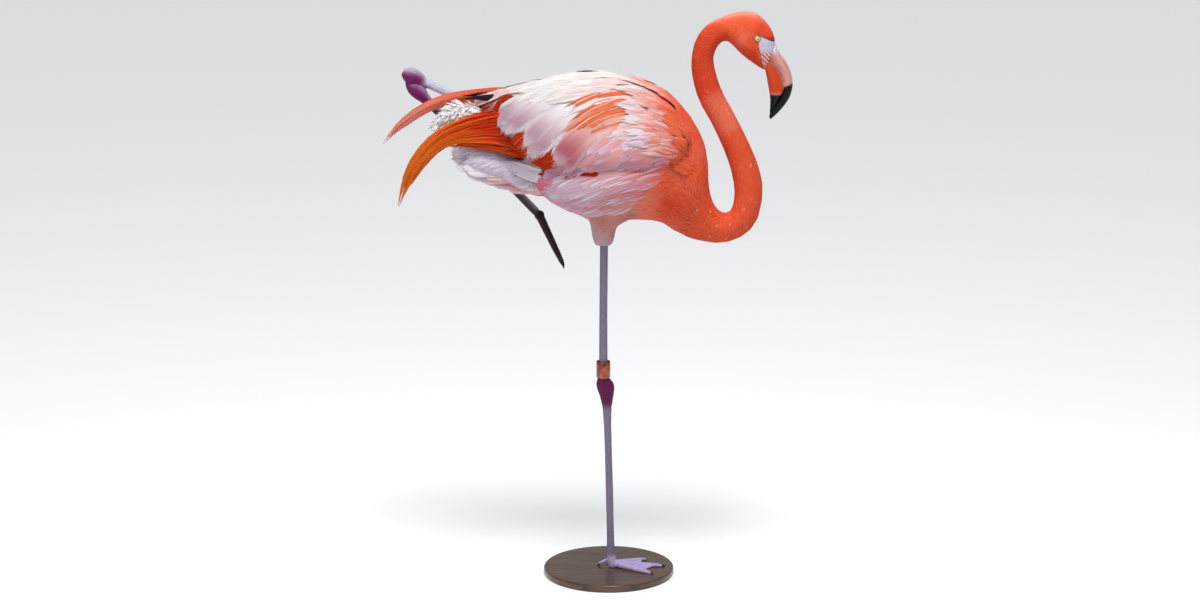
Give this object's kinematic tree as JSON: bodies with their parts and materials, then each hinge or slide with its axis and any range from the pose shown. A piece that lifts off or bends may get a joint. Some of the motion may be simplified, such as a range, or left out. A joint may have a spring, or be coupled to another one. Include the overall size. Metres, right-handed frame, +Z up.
{
  "type": "american flamingo",
  "caption": "Life-size still model of an adult American flamingo on its right leg, left leg drawn up behind, neck in an S, on a round base.",
  "frame": {"origin": "centre of the round base's flat underside", "axes": "+Z up, the bird faces +X, its left side is +Y"},
  "size_m": [0.6649, 0.216, 0.9431],
  "materials": {
    "plumage_coral": "fine matte feathers",
    "plumage_pink": "matte feathers, pale fringes",
    "plumage_scarlet": "matte feathers",
    "plumage_orange": "soft sheen feathers",
    "plumage_white": "matte feathers",
    "flight_black": "soft sheen feathers",
    "bare_leg": "scaled skin, satin",
    "joint_maroon": "scaled skin, satin",
    "bill_pink": "horn, satin",
    "bill_coral": "horn with a black tip, satin",
    "eye": "wet gloss",
    "leg_ring": "gloss",
    "stand": "dark satin"
  },
  "bodies": {
    "root": {"trunk": "plumage_pink", "rump": "plumage_scarlet", "neck_base": "plumage_coral", "neck_lower": "plumage_coral", "neck_middle": "plumage_coral", "neck_upper": "plumage_coral", "head": "plumage_coral", "eye_left": "eye", "eye_right": "eye", "bill_upper": "bill_pink", "bill_lower": "bill_coral", "wing_right": "plumage_pink", "wing_left": "plumage_pink", "tail": "plumage_white", "thigh_right": "plumage_pink", "thigh_left": "plumage_pink", "plume_right": "plumage_orange", "plume_left": "plumage_orange", "flight_tips_right": "flight_black", "flight_tips_left": "flight_black", "rump_tuft": "plumage_white", "leg_right_tibia": "bare_leg", "leg_right_hock": "joint_maroon", "leg_right_tarsus": "bare_leg", "foot_right": "bare_leg", "leg_band": "leg_ring", "leg_left_tibia": "bare_leg", "leg_left_hock": "joint_maroon", "leg_left_tarsus": "bare_leg", "foot_left": "joint_maroon", "stand_base": "stand"}
  },
  "joints": []
}
